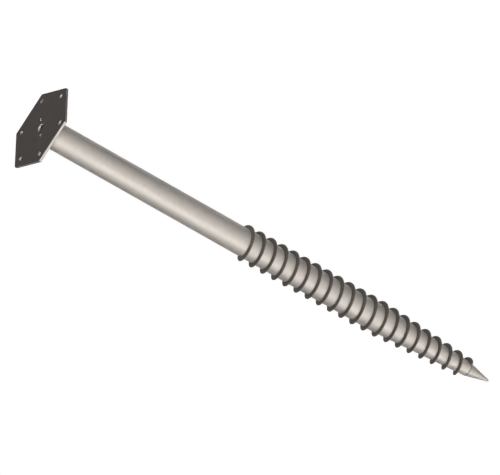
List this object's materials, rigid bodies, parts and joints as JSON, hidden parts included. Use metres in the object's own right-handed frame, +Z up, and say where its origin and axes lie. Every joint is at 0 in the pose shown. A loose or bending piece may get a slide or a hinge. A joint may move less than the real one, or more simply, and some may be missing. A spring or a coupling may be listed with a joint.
{
  "type": "foundation ground screw",
  "caption": "Welded steel ground screw: tapered tube with a helical flight, solid drive point and a hexagonal bolting flange, lying on its side.",
  "frame": {"origin": "on the ground, midway along the part and under its middle, as it lies on its side", "axes": "+X runs along the ground from the flange to the point; +Z is up; the shaft's own axis lies in the XZ plane and falls 3.09 degrees towards the point"},
  "size_m": [1.5158, 0.254, 0.2201],
  "materials": {
    "plate_zinc": "hot-dip galvanised plate, weathered to a dull dark grey with a faint spangle, with brighter metal on its rim and in its holes",
    "weld_zinc": "galvanised weld bead, rippled",
    "tube_zinc": "hot-dip galvanised tube, dull zinc with fine drawing lines",
    "flight_zinc": "galvanised strip wound on edge, weathered to a dark grey",
    "point_zinc": "galvanised forged point"
  },
  "bodies": {
    "root": {"flange_plate": "plate_zinc", "flange_weld": "weld_zinc", "shaft_tube": "tube_zinc", "thread_flight": "flight_zinc", "drive_point": "point_zinc"}
  },
  "joints": []
}
